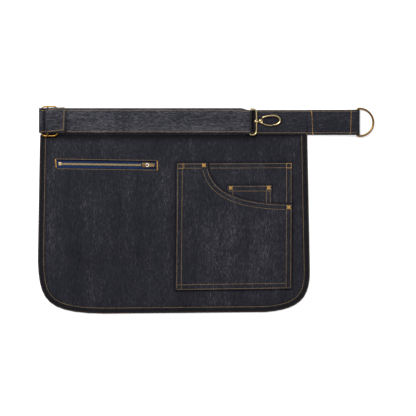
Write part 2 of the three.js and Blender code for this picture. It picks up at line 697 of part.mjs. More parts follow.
const overPanel = (x, y) => ground(x, y) + CLOTH + GAP;
const overPatch = (x, y) => overPanel(x, y) + CLOTH + GAP;
const overCoin = (x, y) => overPatch(x, y) + (CLOTH + GAP) * plateau(outside(x, y, COIN), CELL, 2 * CELL);

const pocketBack = () => sheet(pocketOutline(), overPanel);

function coinPocket() {
  const { left, right, bottom, top } = COIN;
  const outline = [
    [left, bottom],
    [right, bottom],
    [right, top],
    [left, top],
  ].map(vector);
  return sheet(outline, overPatch);
}

function pocketFront() {
  const [topLeft, lowLeft, lowRight] = pocketOutline();
  return sheet([...mouthCurve().reverse(), topLeft, lowLeft, lowRight], overCoin);
}

const finish = (color, roughness, metalness) =>
  new THREE.MeshStandardMaterial({ color, roughness, metalness });
const denim = finish(0x2b2c38, 0.95, 0);
const lining = finish(0x30323c, 0.95, 0);
const brass = finish(0xa98548, 0.35, 1);
const darkBrass = finish(0x7a5a28, 0.4, 1);
const blueTape = finish(0x1f3561, 0.9, 0);

function piece(name, body, material) {
  const mesh = new THREE.Mesh(geometryOf(body), material);
  mesh.name = name;
  return mesh;
}

const apron = new THREE.Group();
apron.add(piece("apron_panel", apronPanel(), denim));
apron.add(piece("waistband", waistband(), denim));
apron.add(piece("adjuster_strap", adjusterStrap(), denim));
apron.add(piece("strap_slider", strapSlider(), darkBrass));
apron.add(piece("hook_ring", hookRing(), brass));
apron.add(piece("hook_body", hookBody(), brass));
apron.add(piece("hook_gate", hookGate(), brass));
apron.add(piece("zip_pocket_bag", zipPocketBag(), lining));
apron.add(piece("pocket_back", pocketBack(), denim));
apron.add(piece("coin_pocket", coinPocket(), denim));
apron.add(piece("pocket_front", pocketFront(), denim));

const ring = piece("d_ring", dRing(), darkBrass);
ring.position.set(D_BAR_X, D_MIDDLE, D_BAR_Z);
ring.rotation.y = D_LEAN;
apron.add(ring);

const zip = new THREE.Group();
zip.position.set(ZIP.x, ZIP.y, 0);
zip.rotation.z = THREE.MathUtils.degToRad(ZIP.lean);
zip.add(piece("zip_tape", zipTape(), blueTape));
zip.add(piece("zip_chain", zipChain(), brass));
zip.add(piece("zip_end_stop", zipEndStop(), brass));
zip.add(piece("zip_slider", zipSliderBody(), brass));
zip.add(piece("zip_puller", zipPuller(), brass));
apron.add(zip);

export default apron;
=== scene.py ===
# %% [markdown]
# # A denim waist apron, laid flat
# A raw denim apron lies front side up and is seen from straight above: one panel, a waistband, a strap with
# brass hardware, a zip pocket and a patch pocket. The frame gives every part its place and size, so this
# lesson only turns plain solids into cloth, thread and metal.

# %% Load the frame
import json
import math

import bmesh
import bpy
from mathutils import Matrix, Vector, noise
from mathutils.bvhtree import BVHTree
from mathutils.kdtree import KDTree


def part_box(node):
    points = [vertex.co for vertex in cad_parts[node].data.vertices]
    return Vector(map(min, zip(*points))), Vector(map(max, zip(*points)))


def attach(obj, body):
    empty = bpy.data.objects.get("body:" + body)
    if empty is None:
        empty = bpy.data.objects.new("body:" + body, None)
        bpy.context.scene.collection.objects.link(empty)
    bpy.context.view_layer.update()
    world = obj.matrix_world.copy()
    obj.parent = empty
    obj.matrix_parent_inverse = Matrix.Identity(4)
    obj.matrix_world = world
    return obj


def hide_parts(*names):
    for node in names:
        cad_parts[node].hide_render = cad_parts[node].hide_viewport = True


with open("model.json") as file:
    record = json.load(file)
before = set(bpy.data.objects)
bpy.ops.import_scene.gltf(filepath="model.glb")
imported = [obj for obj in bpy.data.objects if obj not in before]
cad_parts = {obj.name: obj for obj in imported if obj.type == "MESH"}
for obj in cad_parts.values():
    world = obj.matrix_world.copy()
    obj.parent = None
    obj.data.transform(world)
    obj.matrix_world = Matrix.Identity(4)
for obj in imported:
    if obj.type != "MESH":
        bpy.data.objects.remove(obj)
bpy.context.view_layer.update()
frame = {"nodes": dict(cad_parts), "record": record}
MM = 0.001

# %% [markdown]
# ## Camera, table and light
# The photograph looks straight down and shows 844 mm across. A long lens far away keeps edges parallel. A
# white table and one broad light from the upper left, over an even white sky, give the clean background and
# part of the dark line under the strap; the rest of that line is a painted shadow. A small hard light would
# draw shadows that the photograph doesn't have.

# %% Set up the shot
VIEW_WIDE = 844.5 * MM
VIEW_CENTRE = (4.0 * MM, 3.6 * MM)
CAMERA_HEIGHT = 2.6
SENSOR = 36.0
TABLE_SIZE = 6.0
TABLE_GAP = 0.2 * MM
SKY_STRENGTH = 0.42

camera = bpy.data.objects.new("camera", bpy.data.cameras.new("camera"))
camera.location = (*VIEW_CENTRE, CAMERA_HEIGHT)
camera.data.sensor_width = SENSOR
camera.data.lens = SENSOR * CAMERA_HEIGHT / VIEW_WIDE
bpy.context.scene.collection.objects.link(camera)
bpy.context.scene.camera = camera
bpy.context.scene.view_settings.view_transform = "Standard"


def new_object(name, bm, smooth=True):
    """A mesh object from a bmesh, at the origin and unturned."""
    for face in bm.faces:
        face.smooth = smooth
    mesh = bpy.data.meshes.new(name)
    bm.to_mesh(mesh)
    bm.free()
    piece = bpy.data.objects.new(name, mesh)
    bpy.context.scene.collection.objects.link(piece)
    return piece


def area_light(name, place, size, power):
    light = bpy.data.lights.new(name, "AREA")
    light.size, light.energy = size, power
    lamp = bpy.data.objects.new(name, light)
    lamp.location = place
    lamp.rotation_euler = (-Vector(place)).to_track_quat("-Z", "Y").to_euler()
    bpy.context.scene.collection.objects.link(lamp)


area_light("key", (-0.8, 1.3, 1.7), 0.9, 44)
area_light("fill", (1.3, -0.7, 1.6), 1.4, 7)
world = bpy.data.worlds.new("sky")
world.use_nodes = True
world.node_tree.nodes["Background"].inputs["Color"].default_value = (1, 1, 1, 1)
world.node_tree.nodes["Background"].inputs["Strength"].default_value = SKY_STRENGTH
bpy.context.scene.world = world

table_mesh = bmesh.new()
bmesh.ops.create_grid(table_mesh, x_segments=1, y_segments=1, size=TABLE_SIZE / 2)
table = new_object("table", table_mesh, smooth=False)
table.location.z = -TABLE_GAP

# %% [markdown]
# ## Shader sums written as Python
# Denim is many small sums of noise. A tiny class wraps a socket, so that `a * 0.5 + b` adds the Math nodes
# by itself, and one method makes any other node from its type, its settings and its inputs.


# %% A small class for shader maths
class Value:
    """One output of a node. Arithmetic on it adds Math nodes."""

    def __init__(self, tree, socket):
        self.tree, self.socket = tree, socket

    def math(self, operation, *values):
        return node(self.tree, "ShaderNodeMath", {"operation": operation}, values)

    def __add__(self, other):
        return self.math("ADD", self, other)

    def __rsub__(self, other):
        return self.math("SUBTRACT", other, self)

    def __mul__(self, other):
        return self.math("MULTIPLY", self, other)

    __radd__, __rmul__ = __add__, __mul__

    def clamped(self, low, high):
        """0 where it is at low or less, 1 at high or more."""
        inputs = {"Value": self, "From Min": low, "From Max": high}
        return node(self.tree, "ShaderNodeMapRange", {"clamp": True}, inputs)


def node(tree, kind, settings=None, inputs=(), output=0):
    """Adds a node: settings first, then numbers or links for its inputs."""
    made = tree.nodes.new(kind)
    for key, value in (settings or {}).items():
        setattr(made, key, value)
    for key, value in inputs.items() if isinstance(inputs, dict) else enumerate(inputs):
        if isinstance(value, Value):
            tree.links.new(value.socket, made.inputs[key])
        else:
            made.inputs[key].default_value = value
    return Value(tree, made.outputs[output])


def rgba(red, green, blue):
    """A colour as seen on a screen, 0 to 255, turned into the light it stands for."""
    def linear(c):
        c /= 255
        return c / 12.92 if c <= 0.04045 else ((c + 0.055) / 1.055) ** 2.4

    return (linear(red), linear(green), linear(blue), 1.0)


def mix(tree, factor, one, other):
    """Blends two colours."""
    made = tree.nodes.new("ShaderNodeMix")
    made.data_type = "RGBA"
    for key, value in ((0, factor), (6, one), (7, other)):
        if isinstance(value, Value):
            tree.links.new(value.socket, made.inputs[key])
        else:
            made.inputs[key].default_value = value
    return Value(tree, made.outputs[2])


def material(name, **fixed):
    """A new material and its tree, with some shader sockets set to plain numbers."""
    made = bpy.data.materials.new(name)
    made.use_nodes = True
    shader = made.node_tree.nodes["Principled BSDF"]
    for key, value in fixed.items():
        shader.inputs[key.replace("_", " ")].default_value = value
    return made, made.node_tree


def feed(made, **links):
    """Links values to sockets of the material's shader."""
    shader = made.node_tree.nodes["Principled BSDF"]
    for key, value in links.items():
        made.node_tree.links.new(value.socket, shader.inputs[key.replace("_", " ")])


def stretched(tree, x, y, z):
    """Object coordinates multiplied along each axis."""
    place = node(tree, "ShaderNodeTexCoord", output=3)
    return node(tree, "ShaderNodeVectorMath", {"operation": "MULTIPLY"}, (place, (x, y, z)))


def grain(tree, vector, scale, detail=2.0, roughness=0.5):
    inputs = {"Vector": vector, "Scale": scale, "Detail": detail, "Roughness": roughness}
    return node(tree, "ShaderNodeTexNoise", {}, inputs)


def bump(tree, height, distance, strength=1.0):
    inputs = {"Height": height, "Distance": distance, "Strength": strength}
    return node(tree, "ShaderNodeBump", {}, inputs)


print("shader helpers are ready")

# %% [markdown]
# ## Denim
# Raw denim has a dark indigo warp over a pale weft. From a metre away it reads as fine streaks along the
# warp, with small specks where the weft shows and a slow mottling; the soft upright folds are painted in as
# slow lighter and darker streaks. Five noises with different stretches give these, and a diagonal wave gives
# the twill, which only shows close up. Beside edges and under the band, strap and hardware a shadow is
# painted into the colour: an attribute stored on each cloth's vertices mixes in that deep tone.

# %% Make the denims
INDIGO_DEEP = rgba(20, 20, 29)
INDIGO = rgba(44, 44, 51)
INDIGO_PALE = rgba(96, 96, 102)
SHADOW = rgba(7, 7, 11)
TWILL_PITCH = 1.1 * MM
WAVE = 0.314  # a wave texture's scale times its pitch


def with_painted_shade(tree, cloth):
    """Mixes in a painted shadow, stored on the vertices beside edges and under parts."""
    shade = node(tree, "ShaderNodeAttribute", {"attribute_name": "painted_shade"}, output=2)
    return mix(tree, shade, cloth, SHADOW)


def denim(name, warp_along_y, tone=0.0, fold_light=0.1):
    """A denim. A higher tone is paler; the last argument sets slow streaks along the warp that paint the
    light and shade of upright folds.
    """
    made, tree = material(name, Specular_IOR_Level=0.16, Sheen_Weight=0.03, Sheen_Roughness=0.5)

    def warp_noise(across, along, detail, roughness):
        size = (across, along, across) if warp_along_y else (along, across, across)
        return grain(tree, stretched(tree, *size), 1.0, detail, roughness)

    streak = warp_noise(620.0, 130.0, 3.0, 0.6)
    slub = warp_noise(330.0, 45.0, 2.0, 0.55)
    # Slow streaks along the warp: painted light and shade of soft upright folds.
    fold_light_noise = warp_noise(30.0, 3.5, 2.0, 0.5)
    even = stretched(tree, 1, 1, 1)
    speck = grain(tree, even, 520.0, 3.0, 0.7)
    mottle = grain(tree, even, 11.0, 3.0, 0.6)
    fine = streak * 0.42 + slub * 0.16 + speck * 0.36
    pale = fine + mottle * 0.14 + fold_light_noise * fold_light * 1.4 + (tone - 0.13)
    body = mix(tree, pale.clamped(0.36, 0.58), INDIGO_DEEP, INDIGO)
    cloth = mix(tree, pale.clamped(0.53, 0.72), body, INDIGO_PALE)
    # Mixes in the painted shadow stored on the vertices.
    colour = with_painted_shade(tree, cloth)
    twill_inputs = {"Vector": even, "Scale": WAVE / TWILL_PITCH, "Distortion": 1.5, "Detail": 2.0}
    twill = node(tree, "ShaderNodeTexWave", {"bands_direction": "DIAGONAL"}, twill_inputs, output=1)
    height = twill * 0.5 + streak * 0.7 + speck * 0.6
    feed(
        made,
        Base_Color=colour,
        Roughness=speck * 0.12 + 0.86,
        Normal=bump(tree, height, 0.0004, 0.7),
    )
    return made


PANEL_DENIM = denim("panel_denim", True, -0.025, 0.12)
PATCH_DENIM = denim("patch_denim", True, 0.01)
STRAP_DENIM = denim("strap_denim", False, 0.07)
BAND_DENIM = denim("band_denim", False, 0.0)
print("denims:", [m.name for m in bpy.data.materials])

# %% [markdown]
# ## Lining, tape and thread
# Pocketing is a plain weave, so two fine waves at right angles are enough. Zip tape is a bright blue
# herringbone. Thread is two strands twisted together: a very fine noise varies its colour and its bumps.


# %% Make the small cloths and threads
def plain_weave(name, dark, pale, pitch):
    made, tree = material(name, Specular_IOR_Level=0.2)
    place = node(tree, "ShaderNodeTexCoord", output=3)
    inputs = {"Vector": place, "Scale": WAVE / pitch}
    waves = [
        node(tree, "ShaderNodeTexWave", {"bands_direction": axis}, inputs, output=1) for axis in ("X", "Y")
    ]
    weave = waves[0] * waves[1]
    tired = grain(tree, stretched(tree, 1, 1, 1), 55.0, 4.0, 0.6)
    colour = mix(tree, (weave * 0.5 + tired * 0.8).clamped(0.2, 0.95), dark, pale)
    # The base colour mixes in the painted shadow stored on the vertices.
    feed(
        made,
        Base_Color=with_painted_shade(tree, colour),
        Roughness=weave * 0.1 + 0.85,
        Normal=bump(tree, weave, pitch / 3, 0.5),
    )
    return made


def thread(name, dark, pale):
    made, tree = material(name, Specular_IOR_Level=0.35)
    twist = grain(tree, stretched(tree, 1, 1, 1), 1500.0, 1.0)
    worn = grain(tree, stretched(tree, 1, 1, 1), 70.0, 3.0)
    colour = mix(tree, (twist * 0.6 + worn * 0.7).clamped(0.4, 0.95), dark, pale)
    feed(made, Base_Color=colour, Roughness=worn * 0.2 + 0.5, Normal=bump(tree, twist, 0.0002, 0.6))
    return made


LINING = plain_weave("pocketing", rgba(36, 37, 46), rgba(58, 60, 72), 0.8 * MM)
TAPE = plain_weave("zip_tape", rgba(14, 26, 56), rgba(34, 56, 102), 0.9 * MM)
TAN = thread("tan_thread", rgba(118, 96, 62), rgba(196, 164, 112))
BROWN = thread("brown_thread", rgba(66, 50, 36), rgba(112, 86, 60))
PALE_GOLD = thread("pale_gold_thread", rgba(120, 92, 52), rgba(206, 168, 104))
GOLD = thread("gold_thread", rgba(148, 100, 38), rgba(236, 188, 106))

# %% [markdown]
# ## Antique brass
# Old brass is dark where it is never touched and bright where it rubs. A slow noise moves between a brown
# patina and bare metal and changes the roughness with it, and a fine one breaks up the highlight. The
# object's own normal adds to the slow noise as well, so faces that point up are painted brighter and the
# sides darker: a painted highlight on top of the real wear.


# %% Make the metals
def old_brass(name, patina, bare, shine, metallic=1.0):
    made, tree = material(name, Metallic=metallic)
    worn = grain(tree, stretched(tree, 1, 1, 1), 140.0, 4.0, 0.65)
    scratch = grain(tree, stretched(tree, 1, 1, 1), 1400.0, 2.0)
    # The upward part of the normal paints a highlight on top faces; the noise is the real wear.
    place = node(tree, "ShaderNodeTexCoord", output=1)
    upward = node(tree, "ShaderNodeSeparateXYZ", {}, (place,), output=2)
    wear_and_top_light = worn * 0.7 + upward.math("MAXIMUM", upward, 0.0) * 0.75
    mask = wear_and_top_light.clamped(0.5, 1.12)
    colour = mix(tree, mask, patina, bare)
    roughness = (1 - mask) * 0.2 + scratch * 0.08 + shine
    dents = bump(tree, worn + scratch * 0.3, 0.0002, 0.25)
    feed(made, Base_Color=colour, Roughness=roughness, Normal=dents)
    return made


RING_BRASS = old_brass("dark_brass", rgba(74, 50, 18), rgba(150, 112, 52), 0.28)
HOOK_BRASS = old_brass("bright_brass", rgba(124, 96, 56), rgba(232, 208, 156), 0.2)
ZIP_METAL = old_brass("zip_metal", rgba(120, 104, 72), rgba(190, 170, 128), 0.38)
SLIDER_METAL = old_brass("slider_metal", rgba(56, 42, 24), rgba(140, 112, 66), 0.3)
TAB_METAL = old_brass("tab_metal", rgba(84, 64, 36), rgba(168, 138, 92), 0.3)
# Near white: a painted highlight on the puller's round eye.
EYE_HIGHLIGHT_METAL = old_brass("eye_painted_highlight", rgba(246, 228, 204), rgba(255, 248, 236), 0.22, 0.3)

# %% [markdown]
# ## Cutting cloth
# Each solid's upper face is flattened into its cut outline, sliced into small squares with planes, and
# lifted back to the height of the solid. This keeps the outline exact and gives an even mesh to smooth,
# wrinkle and stitch. Growing a grid and trimming it would leave a ragged edge.

# %% Cut, slice and lift
CLOTH = 1.2 * MM
LOOK_DOWN = Vector((0, 0, -1))
HIGH_ABOVE = 0.2
NEAR = 1e-6
CREASE_LONG = 2.2
CREASE_LARGE, CREASE_SMALL = 34 * MM, 11 * MM
surface = {}


def merged_copy(node_name):
    bm = bmesh.new()
    bm.from_mesh(frame["nodes"][node_name].data)
    bmesh.ops.remove_doubles(bm, verts=bm.verts, dist=NEAR)
    return bm


def slice_mesh(bm, axis, low, high, step):
    """Cuts the mesh with evenly spaced planes across one axis."""
    normal = Vector((1, 0, 0)) if axis == 0 else Vector((0, 1, 0))
    count = math.floor((high - low) / step)
    for i in range(1, count + 1):
        geometry = bm.verts[:] + bm.edges[:] + bm.faces[:]
        place = normal * (low + i * step)
        bmesh.ops.bisect_plane(bm, geom=geometry, dist=NEAR, plane_co=place, plane_no=normal)


def flat(place):
    """A place's point on the table."""
    return Vector((place[0], place[1], 0))


def nearest(places):
    """A tree that finds the nearest of some places."""
    tree = KDTree(len(places))
    for i, place in enumerate(places):
        tree.insert(place, i)
    tree.balance()
    return tree


def height_on(tree, x, y):
    """The height of a surface under a place, or of its nearest point beside it."""
    hit = tree.ray_cast(Vector((x, y, HIGH_ABOVE)), LOOK_DOWN)[0]
    if hit is None:
        hit = tree.find_nearest(Vector((x, y, 0.01)))[0]
    return hit.z


def wrinkle(x, y, size, amount, seed=0.0):
    """A smooth random height, stretched along Y as hanging cloth creases."""
    return amount * noise.noise(Vector((x / size, y / (size * CREASE_LONG), seed)))


def cut_sheet(node_name, cell, passes=10, crease=0.25 * MM):
    """The upper side of a cloth solid as an even, smoothed sheet."""
    solid = merged_copy(node_name)
    tree = BVHTree.FromBMesh(solid)
    low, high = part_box(node_name)
    bmesh.ops.delete(solid, geom=[f for f in solid.faces if f.normal.z < 0.3], context="FACES")
    for vert in solid.verts:
        vert.co.z = 0
    bmesh.ops.remove_doubles(solid, verts=solid.verts, dist=NEAR)
    bmesh.ops.dissolve_limit(solid, angle_limit=math.radians(0.5), verts=solid.verts, edges=solid.edges)
    slice_mesh(solid, 0, low.x, high.x, cell)
    slice_mesh(solid, 1, low.y, high.y, cell)
    for vert in solid.verts:
        vert.co.z = height_on(tree, vert.co.x, vert.co.y)
    for _ in range(passes):
        bmesh.ops.smooth_vert(solid, verts=solid.verts, factor=0.5, use_axis_z=True)
    for vert in solid.verts:
        x, y = vert.co.x, vert.co.y
        vert.co.z += wrinkle(x, y, CREASE_LARGE, crease, 3.1) + wrinkle(x, y, CREASE_SMALL, crease * 0.3, 7.7)
    bmesh.ops.recalc_face_normals(solid, faces=solid.faces)
    if sum(f.normal.z for f in solid.faces) < 0:
        bmesh.ops.reverse_faces(solid, faces=solid.faces)
    return solid


def rope_edges(bm, width, rise, pitch=8 * MM, keep=lambda p: True):
    """Raises a seam along the outer edge and twists it slightly, as a sewn hem ropes."""
    edge = nearest([flat(v.co) for v in bm.verts if v.is_boundary and keep(v.co)])
    for vert in bm.verts:
        distance = edge.find(flat(vert.co))[2]
        if distance > width * 1.5:
            continue
        inside = 1 - min(max((distance - width * 0.85) / (width * 0.35), 0), 1)
        twist = math.sin(2 * math.pi * (vert.co.x + vert.co.y) / pitch)
        vert.co.z += inside * (rise + 0.12 * MM * twist)
        vert.co.z -= 0.5 * rise * max(0, 1 - distance / (2 * MM))


def remember(name, bm):
    surface[name] = BVHTree.FromBMesh(bm)


def thicken(piece, thickness):
    """Gives a sheet its wall, below the surface that was cut."""
    wall = piece.modifiers.new("wall", "SOLIDIFY")
    wall.thickness, wall.offset = thickness, -1
    wall.use_even_offset = True


def area_of(bm):
    """The flat area of the cut, seen from above."""
    return sum(f.calc_area() * abs(f.normal.z) for f in bm.faces)


def finish_piece(piece, body, made, slot, *nodes):
    """Gives a piece its material and the body it rides on, and hides the solids that it stands for. The slot
    is not used.
    """
    piece.data.materials.clear()
    piece.data.materials.append(made)
    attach(piece, body)
    if nodes:
        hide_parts(*nodes)


print("cloth helpers are ready")

# %% [markdown]
# ## Lines to work along
# Seams, edges and creases all follow a few lines: the panel's outline, the patch's corners and the curved
# mouth. They are worked out once, from the frame, and used for sewing and for the painted shadow beside
# each edge.


# %% Lines and edges
def walk(line, step):
    """Evenly spaced pairs of points along a line of places."""
    places = [flat(p) for p in line]
    lengths = [(b - a).length for a, b in zip(places, places[1:])]
    total = sum(lengths)
    count = max(1, round(total / step))
    marks, index, gone = [], 0, 0.0
    for i in range(count + 1):
        want = min(total * i / count, total - 1e-9)
        while index < len(lengths) - 1 and gone + lengths[index] < want:
            gone += lengths[index]
            index += 1
        marks.append(places[index].lerp(places[index + 1], (want - gone) / lengths[index]))
    return list(zip(marks, marks[1:]))


def corner(node_name, right, up):
    """The node's vertex furthest towards one corner."""
    places = [v.co.copy() for v in frame["nodes"][node_name].data.vertices]
    return max(places, key=lambda c: right * c.x + up * c.y)


def inset(line, distance):
    """The line moved to its left by a distance."""
    moved = []
    for i, place in enumerate(line):
        back, on = Vector(line[max(i - 1, 0)][:2]), Vector(line[min(i + 1, len(line) - 1)][:2])
        along = (on - back).normalized()
        moved.append(Vector(place[:2]) + Vector((-along.y, along.x)) * distance)
    return moved


def bezier(a, b, c, d, count=24):
    """Points along a cubic curve with four control points."""
    points = []
    for i in range(count + 1):
        t = i / count
        u = 1 - t
        near, far = Vector(a) * u**3 + Vector(b) * 3 * u * u * t, Vector(c) * 3 * u * t * t
        points.append(near + far + Vector(d) * t**3)
    return points


panel_low, panel_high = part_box("apron_panel")
band_low, band_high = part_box("waistband")
LEFT_RUN, LEFT_RISE = 134 * MM, 105 * MM
RIGHT_RUN, RIGHT_RISE = 91 * MM, 88 * MM
FLARE = 4.6 * MM
left, right, bottom = panel_low.x, panel_high.x, panel_low.y
start_left = (left + FLARE, band_low.y)
start_right = (right - FLARE - 0.7 * MM, band_low.y)
left_curve = bezier(
    (left, bottom + LEFT_RISE),
    (left + 3 * MM, bottom + 0.25 * LEFT_RISE),
    (left + 0.13 * LEFT_RUN, bottom + MM),
    (left + LEFT_RUN, bottom),
)
right_curve = bezier(
    (right - RIGHT_RUN, bottom + 3 * MM),
    (right - 0.26 * RIGHT_RUN, bottom + 8 * MM),
    (right + MM, bottom + 0.33 * RIGHT_RISE),
    (right, bottom + RIGHT_RISE),
)
hem_line = [Vector(start_left), *left_curve, *right_curve, Vector(start_right)]
top_left, top_right = corner("pocket_back", -1, 1), corner("pocket_back", 1, 1)
low_left, low_right = corner("pocket_back", -1, -1), corner("pocket_back", 1, -1)
MOUTH_X, MOUTH_Y = 3.6 * MM, 11.7 * MM
mouth_wide, mouth_deep = top_right.x - MOUTH_X, top_left.y - MOUTH_Y
mouth = bezier(
    (MOUTH_X, top_left.y + MM),
    (MOUTH_X + 0.01 * mouth_wide, top_left.y - 0.62 * mouth_deep),
    (MOUTH_X + 0.28 * mouth_wide, MOUTH_Y),
    (top_right.x, MOUTH_Y),
)
mouth_top_left = corner("pocket_front", -1, 1)
right_split = Vector((top_right.x, MOUTH_Y, 0))


def paint_shade_beside_edges(bm, marks):
    """Stores how dark a painted shadow makes each vertex beside an edge. A mark is a line, a reach and a
    depth.
    """
    layer = bm.verts.layers.float.new("painted_shade")
    for line, reach, depth in marks:
        spots = nearest([pair[0] for pair in walk(line, 2 * MM)] + [flat(line[-1])])
        for vert in bm.verts:
            distance = spots.find(flat(vert.co))[2]
            vert[layer] = max(vert[layer], depth * max(0, 1 - distance / reach) ** 1.3)


def mm_line(*places):
    """A line given in millimetres."""
    return [(x * MM, y * MM) for x, y in places]


print("hem line, points:", len(hem_line))

# %% [markdown]
# ## The panel and its hem
# The panel hangs from the band with slow upright folds. Its hem is turned under, so there it is as thick as
# three layers and stands a little proud. The turned-under strip is a second piece that shows from below.

# %% Cut the panel
HEM = 11.5 * MM
HEM_GAP = 0.05 * MM
HEM_THICK = 1.1 * MM
PANEL_CELL = 3.2 * MM
PASSES = 14
zip_low, zip_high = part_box("zip_tape")


def on_hem(place):
    beside_zip = zip_low.x - HEM < place.x < zip_high.x + HEM
    near_zip = beside_zip and zip_low.y - HEM < place.y < zip_high.y + HEM
    return place.y < band_low.y - 2 * MM and not near_zip


panel_bm = cut_sheet("apron_panel", PANEL_CELL, PASSES)
rope_edges(panel_bm, HEM, 0.3 * MM, keep=on_hem)
PANEL_SHADOW_MARKS = [
    # Painted shadow beside the patch pocket.
    ([top_left, low_left], 7 * MM, 0.9),
    ([top_left, top_right], 6 * MM, 0.8),
    ([low_left, low_right], 5 * MM, 0.65),
    ([low_right, top_right], 5 * MM, 0.6),
    # Painted shadow under the strap, the band and the slider.
    (mm_line((-337, 149), (100, 149)), 15 * MM, 1.0),
    (mm_line((100, 150.5), (206, 150.5)), 9 * MM, 0.88),
    (mm_line((-336, 146), (-299, 146)), 8 * MM, 0.9),
    # Painted shadow along the hem, and once more on its right side.
    (inset(hem_line, 4 * MM), 16 * MM, 0.82),
    (inset(right_curve + [Vector(start_right)], 3 * MM), 13 * MM, 0.68),
]
paint_shade_beside_edges(panel_bm, PANEL_SHADOW_MARKS)
remember("panel", panel_bm)
panel_area = area_of(panel_bm)

hem_bm = panel_bm.copy()
hem_edge = nearest([v.co.copy() for v in hem_bm.verts if v.is_boundary and on_hem(v.co)])
hem_away = [f for f in hem_bm.faces if hem_edge.find(f.calc_center_median())[2] > HEM - 1.5 * MM]
bmesh.ops.delete(hem_bm, geom=hem_away, context="FACES")
for vert in hem_bm.verts:
    vert.co.z -= CLOTH + HEM_GAP
hem_top = max(v.co.z for v in hem_bm.verts)
panel = new_object("denim_panel", panel_bm)
thicken(panel, CLOTH)
finish_piece(panel, "apron", PANEL_DENIM, "denim", "apron_panel")
hem = new_object("panel_hem", hem_bm)
thicken(hem, HEM_THICK)
finish_piece(hem, "apron", PANEL_DENIM, "denim")
print("panel area, square metres:", round(panel_area, 4), "hem top, mm:", round(hem_top / MM, 2))

# %% [markdown]
# ## The pockets
# The patch is one whole piece with an open, double-stitched top. A second layer with a curved mouth lies on
# it and half covers the small coin pocket. All three are cut as the panel was, so they follow its folds.

# %% Cut the pockets
coin_low, coin_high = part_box("coin_pocket")
coin_corner = (coin_low.x, coin_high.y)
POCKET_HEM = 11 * MM
# Painted shadow beside the mouth, along the small pocket's edges, and faintly inside the front layer's edges.
PATCH_SHADOW_MARKS = {
    "pocket_back": [
        (mouth, 6.5 * MM, 0.9),
        ([(coin_low.x, coin_low.y), coin_corner, coin_high], 4.5 * MM, 0.85),
        ([coin_high, (coin_high.x, coin_low.y)], 4 * MM, 0.6),
    ],
    "coin_pocket": [(mouth, 5 * MM, 0.7)],
    "pocket_front": [
        (inset([mouth_top_left, low_left, low_right, right_split], 7 * MM), 4 * MM, 0.25),
    ],
}
for node_name, piece_name, cell in (
    ("pocket_back", "patch_pocket", PANEL_CELL),
    ("coin_pocket", "small_pocket", 0.75 * PANEL_CELL),
    ("pocket_front", "mouth_pocket", PANEL_CELL),
):
    bm = cut_sheet(node_name, cell, PASSES)
    rope_edges(bm, POCKET_HEM, 0.25 * MM)
    paint_shade_beside_edges(bm, PATCH_SHADOW_MARKS[node_name])
    remember(piece_name, bm)
    area = area_of(bm)
    piece = new_object(piece_name, bm)
    thicken(piece, CLOTH)
    finish_piece(piece, "apron", PATCH_DENIM, "denim", node_name)
    print(piece_name, "area, square metres:", round(area, 4))

# %% [markdown]
# ## Waistband and strap
# Both are long folds of cloth. Their solids already turn round the hardware, so a copy is only sliced into
# short lengths, given small dents and a painted shadow beside its marks, and its corners are rounded.


# %% Slice the band and the strap
def rounded(piece, width, angle):
    """Rounds the edges that are sharper than an angle in degrees."""
    soft = piece.modifiers.new("soft_edge", "BEVEL")
    soft.width, soft.segments, soft.limit_method = width, 2, "ANGLE"
    soft.angle_limit = math.radians(angle)


def dress_fold(node_name, piece_name, cell, made, slot, marks=(), dent=0.15 * MM, round_by=0.45 * MM):
    """A folded cloth: its solid, sliced, dented and rounded."""
    bm = merged_copy(node_name)
    bmesh.ops.dissolve_limit(bm, angle_limit=math.radians(0.3), verts=bm.verts, edges=bm.edges)
    low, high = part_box(node_name)
    slice_mesh(bm, 0, low.x, high.x, cell)
    slice_mesh(bm, 1, low.y, high.y, cell)
    for vert in bm.verts:
        x, y, z = vert.co
        if low.z + 0.3 * MM < z:
            vert.co.z += wrinkle(y, x, 16 * MM, dent, 1.3) + wrinkle(x, y, 30 * MM, dent, 5.9)
    # Painted shadow beside the marks, stored on the vertices.
    paint_shade_beside_edges(bm, marks)
    remember(piece_name, bm)
    piece = new_object(piece_name, bm)
    rounded(piece, round_by, 40)
    finish_piece(piece, "apron", made, slot, node_name)
    return piece


strap_low, strap_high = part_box("adjuster_strap")
BOW = mm_line(
    (112, 176), (124, 171), (137, 169), (147, 174), (151, 180), (148, 187), (137, 189), (122, 187)
)
BAND_SHADOW_MARKS = [
    # Painted shadow under the hook's ring, round the hook and along the lower edge.
    (mm_line((96, 153), (96, 204)), 8 * MM, 0.92),
    (BOW, 4.5 * MM, 0.75),
    (mm_line((93, 152), (205, 152)), 3 * MM, 0.5),
]
STRAP_SHADOW_MARKS = [
    # Painted shadow beside the slider's bar, past the short end and at the hook's ring.
    (mm_line((-327.6, 154), (-327.2, 208)), 4 * MM, 0.97),
    (mm_line((-283.8, 154), (-281, 207)), 4.5 * MM, 0.85),
    (mm_line((89, 152), (89, 206)), 5 * MM, 0.6),
]
band = dress_fold("waistband", "denim_waistband", 5 * MM, BAND_DENIM, "denim", BAND_SHADOW_MARKS)
strap = dress_fold("adjuster_strap", "denim_strap", 4 * MM, STRAP_DENIM, "denim", STRAP_SHADOW_MARKS, 0.1 * MM)
bag = dress_fold("zip_pocket_bag", "zip_bag", 8 * MM, LINING, "lining", (), 0.1 * MM, 0.3 * MM)

# %% [markdown]
# ## Hardware
# The wires' solids have flat sides. A fine voxel remesh followed by smoothing rounds them and melts the
# joints together, which is how cast and soldered brass looks. Smoothing thins a wire, so the lost volume is
# put back along the normals.


